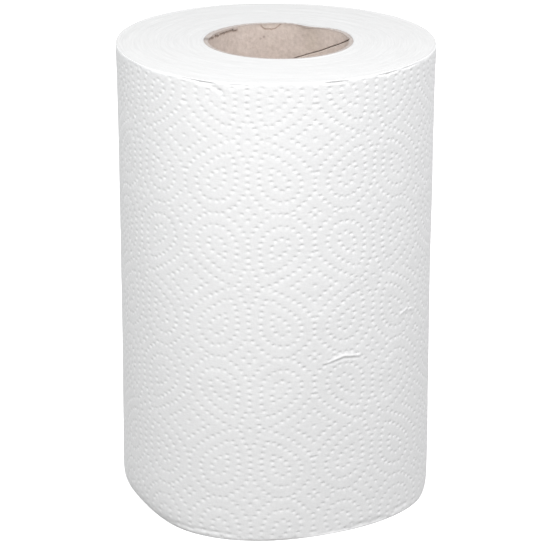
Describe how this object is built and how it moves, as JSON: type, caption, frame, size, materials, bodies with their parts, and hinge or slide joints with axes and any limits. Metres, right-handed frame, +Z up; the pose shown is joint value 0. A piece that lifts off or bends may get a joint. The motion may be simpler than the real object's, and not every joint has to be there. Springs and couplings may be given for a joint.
{
  "type": "paper towel roll",
  "caption": "Small roll of white embossed paper towel wound on a spiral board core, standing on its end, with an open round bore for a holder.",
  "frame": {"origin": "on the core's axis, in the plane of the bottom end", "axes": "+Z up along the core's axis, -Y towards the side seen from the front"},
  "size_m": [0.1372, 0.1374, 0.202],
  "materials": {
    "board": "matt grey-brown recycled board with a spiral seam",
    "tissue": "soft matt white tissue, embossed with small dimples in scrolls"
  },
  "bodies": {
    "root": {"core_tube": "board", "paper_roll": "tissue"}
  },
  "joints": []
}
